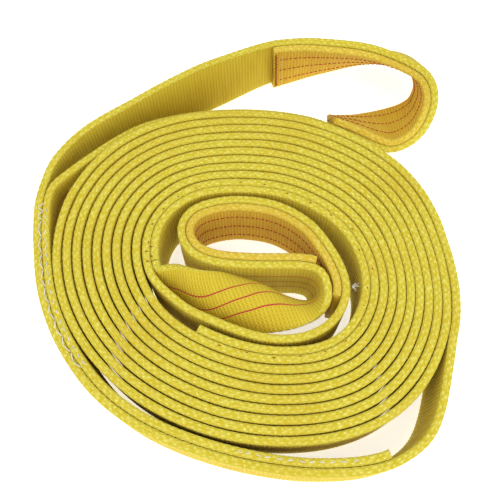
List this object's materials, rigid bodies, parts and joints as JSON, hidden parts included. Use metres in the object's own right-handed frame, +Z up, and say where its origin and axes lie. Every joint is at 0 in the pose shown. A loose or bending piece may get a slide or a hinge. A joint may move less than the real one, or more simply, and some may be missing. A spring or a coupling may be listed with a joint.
{
  "type": "web sling",
  "caption": "Flat eye-and-eye webbing sling, standing on its edge and wound into a flat coil, with a padded sewn eye at each end.",
  "frame": {"origin": "centre of the bounding box, at its base, where the coil stands on the floor", "axes": "+Z up along the webbing's width; +Y away from the viewer, towards the outer eye; +X to the viewer's right"},
  "size_m": [0.2761, 0.3221, 0.0516],
  "materials": {
    "webbing": "woven yellow webbing",
    "pad": "woven amber wear pad",
    "thread_white": "off-white sewing thread",
    "thread_red": "red sewing thread"
  },
  "bodies": {
    "coil": {"webbing_coil": "webbing", "webbing_outer_run": "webbing", "outer_splice_tail": "webbing", "outer_splice_stitching": "thread_white", "inner_splice_tail": "webbing", "inner_splice_stitching": "thread_red"},
    "outer_eye": {"outer_eye_webbing": "webbing", "outer_eye_pad": "pad", "outer_pad_stitching": "thread_red", "outer_pad_bartacks": "thread_red"},
    "inner_eye": {"inner_eye_webbing": "webbing", "inner_eye_twisted_leg": "webbing", "inner_eye_pad": "pad", "inner_pad_stitching": "thread_red", "inner_pad_bartacks": "thread_red"}
  },
  "joints": [
    {"name": "outer_eye_swing", "type": "hinge", "parent": "coil", "child": "outer_eye", "pos_m": [-0.1381, 0.01, 0.025], "axis": [0, 0, 1], "range_deg": [0, 35]},
    {"name": "inner_eye_lift", "type": "slide", "parent": "coil", "child": "inner_eye", "axis": [0, 0, 1], "range_m": [0, 0.03]}
  ]
}
